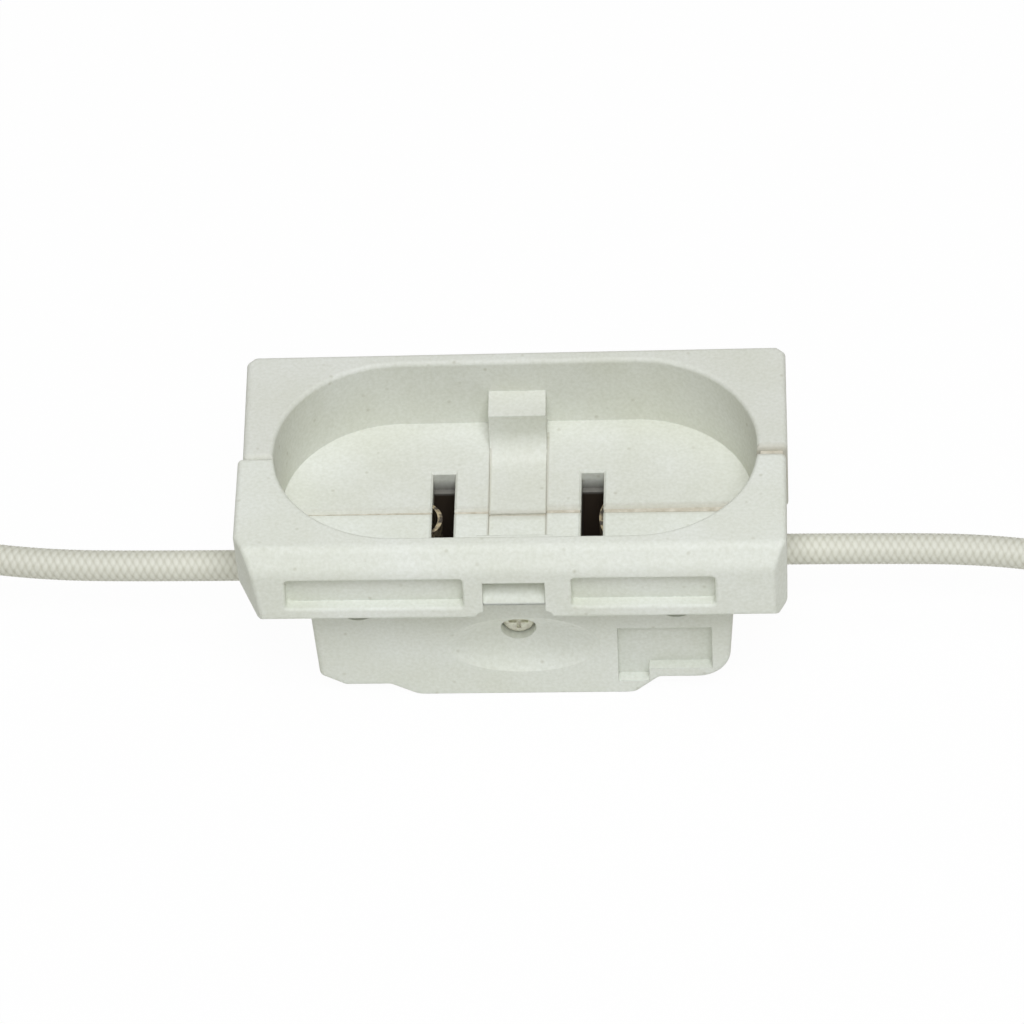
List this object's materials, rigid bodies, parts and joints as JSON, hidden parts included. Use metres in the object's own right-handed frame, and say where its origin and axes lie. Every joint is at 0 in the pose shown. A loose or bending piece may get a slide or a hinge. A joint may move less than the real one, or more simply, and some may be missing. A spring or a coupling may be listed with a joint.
{
  "type": "mogul end prong lamp socket",
  "caption": "Steatite lamp socket clamped from two halves, with an oval recess, slotted spring contacts and a glass braided lead at each end.",
  "frame": {"origin": "under the middle of the foot, on the seam between the two halves", "axes": "+Z out of the lamp recess, X along the long side with the leads, -Y the front with the label pockets and the screw head"},
  "size_m": [0.226, 0.032, 0.0252],
  "materials": {
    "steatite": "matte",
    "plated_steel": "satin",
    "nickel_plated_alloy": "satin",
    "spring_steel": "satin",
    "plated_copper": "satin",
    "glass_braid": "matte",
    "nylon_tie": "matte"
  },
  "bodies": {
    "root": {"clamp_nut": "plated_steel", "clamp_screw": "plated_steel", "front_shell": "steatite", "left_backing_spring": "spring_steel", "left_conductor": "plated_copper", "left_contact": "nickel_plated_alloy", "left_lead": "glass_braid", "left_lead_end": "plated_copper", "left_lead_hank": "glass_braid", "left_lug": "nickel_plated_alloy", "left_rivet": "nickel_plated_alloy", "left_tie": "nylon_tie", "lock_washer": "plated_steel", "rear_shell": "steatite", "right_backing_spring": "spring_steel", "right_conductor": "plated_copper", "right_contact": "nickel_plated_alloy", "right_lead": "glass_braid", "right_lead_end": "plated_copper", "right_lead_hank": "glass_braid", "right_lug": "nickel_plated_alloy", "right_rivet": "nickel_plated_alloy", "right_tie": "nylon_tie"}
  },
  "joints": []
}
